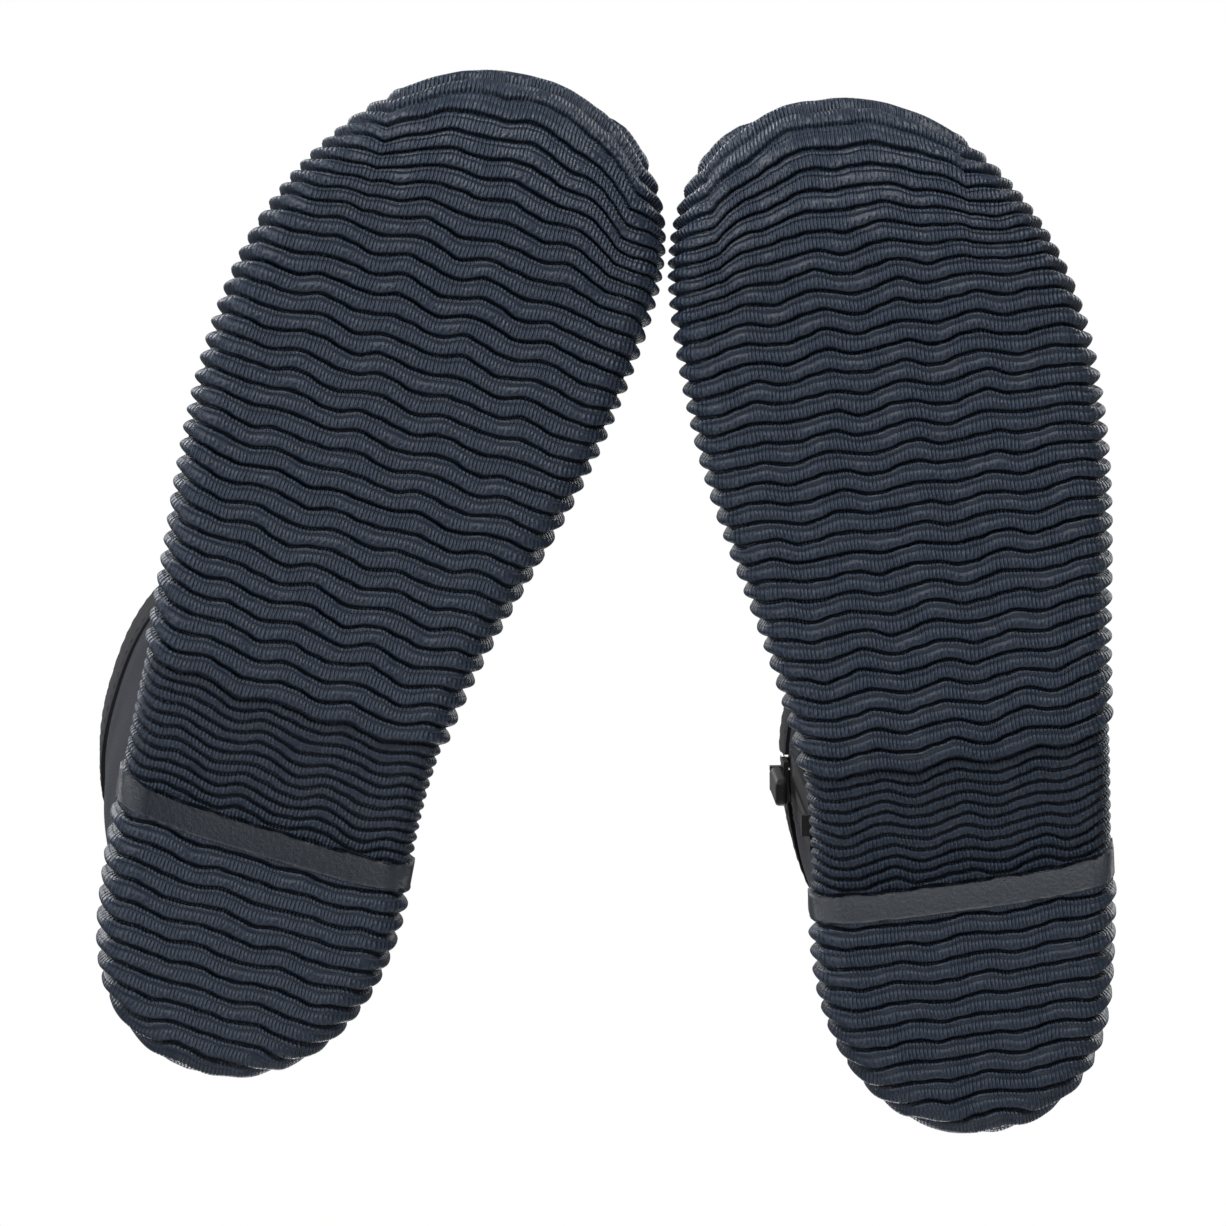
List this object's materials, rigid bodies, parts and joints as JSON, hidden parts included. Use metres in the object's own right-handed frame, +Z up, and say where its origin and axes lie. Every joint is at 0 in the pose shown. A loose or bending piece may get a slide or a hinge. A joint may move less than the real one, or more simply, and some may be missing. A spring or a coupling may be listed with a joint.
{
  "type": "neoprene boots",
  "caption": "Pair of ankle-high neoprene boots with wavy ribbed rubber soles, low heel blocks and an inner side zip on each.",
  "frame": {"origin": "centre of the pair's bounding box, on the ground under the soles", "axes": "+Z up, soles on the ground; +Y towards the toes; the right boot is at +X"},
  "size_m": [0.2908, 0.2961, 0.1665],
  "materials": {
    "sole_rubber": "satin moulded rubber",
    "foam": "closed-cell foam",
    "board": "matt fibre board",
    "lining": "knitted sock liner",
    "neoprene": "neoprene with a fine knitted face",
    "skin_rubber": "thin matt rubber skin",
    "tape": "matt seam tape",
    "hem": "folded knitted binding",
    "zip_cloth": "woven tape",
    "zip_plastic": "moulded, satin",
    "zip_metal": "black, satin"
  },
  "bodies": {
    "right_boot": {"right_outsole": "sole_rubber", "right_heel_lift": "sole_rubber", "right_midsole": "foam", "right_insole_board": "board", "right_footbed": "lining", "right_vamp": "neoprene", "right_lateral_quarter": "neoprene", "right_medial_quarter": "neoprene", "right_toe_cap": "skin_rubber", "right_heel_counter": "skin_rubber", "right_lateral_rand": "skin_rubber", "right_medial_rand": "skin_rubber", "right_vamp_seam_tape": "tape", "right_back_seam_tape": "tape", "right_collar_binding": "hem", "right_zip_tape_front": "zip_cloth", "right_zip_tape_rear": "zip_cloth", "right_zip_teeth_front": "zip_plastic", "right_zip_teeth_rear": "zip_plastic", "right_zip_stops": "zip_plastic", "right_zip_gusset": "neoprene"},
    "right_slider": {"right_zip_slider": "zip_metal"},
    "right_pull": {"right_zip_pull": "zip_plastic"},
    "left_boot": {"left_outsole": "sole_rubber", "left_heel_lift": "sole_rubber", "left_midsole": "foam", "left_insole_board": "board", "left_footbed": "lining", "left_vamp": "neoprene", "left_lateral_quarter": "neoprene", "left_medial_quarter": "neoprene", "left_toe_cap": "skin_rubber", "left_heel_counter": "skin_rubber", "left_lateral_rand": "skin_rubber", "left_medial_rand": "skin_rubber", "left_vamp_seam_tape": "tape", "left_back_seam_tape": "tape", "left_collar_binding": "hem", "left_zip_tape_front": "zip_cloth", "left_zip_tape_rear": "zip_cloth", "left_zip_teeth_front": "zip_plastic", "left_zip_teeth_rear": "zip_plastic", "left_zip_stops": "zip_plastic", "left_zip_gusset": "neoprene"},
    "left_slider": {"left_zip_slider": "zip_metal"},
    "left_pull": {"left_zip_pull": "zip_plastic"}
  },
  "joints": [
    {"name": "right_zip_slide", "type": "slide", "parent": "right_boot", "child": "right_slider", "axis": [-0.0039, -0.0007, -1], "range_m": [0, 0.0932]},
    {"name": "right_zip_pull_swing", "type": "hinge", "parent": "right_slider", "child": "right_pull", "pos_m": [0.05188, -0.05934, 0.15317], "axis": [-0.1754, 0.9845, 0], "range_deg": [0, 160]},
    {"name": "left_zip_slide", "type": "slide", "parent": "left_boot", "child": "left_slider", "axis": [0.004, -0.0001, -1], "range_m": [0, 0.0932]},
    {"name": "left_zip_pull_swing", "type": "hinge", "parent": "left_slider", "child": "left_pull", "pos_m": [-0.05223, -0.06729, 0.15317], "axis": [-0.0131, -0.9999, 0], "range_deg": [0, 160]},
    {"name": "left_boot_apart", "type": "slide", "parent": "right_boot", "child": "left_boot", "axis": [-1, 0, 0], "range_m": [0, 0.25]}
  ]
}
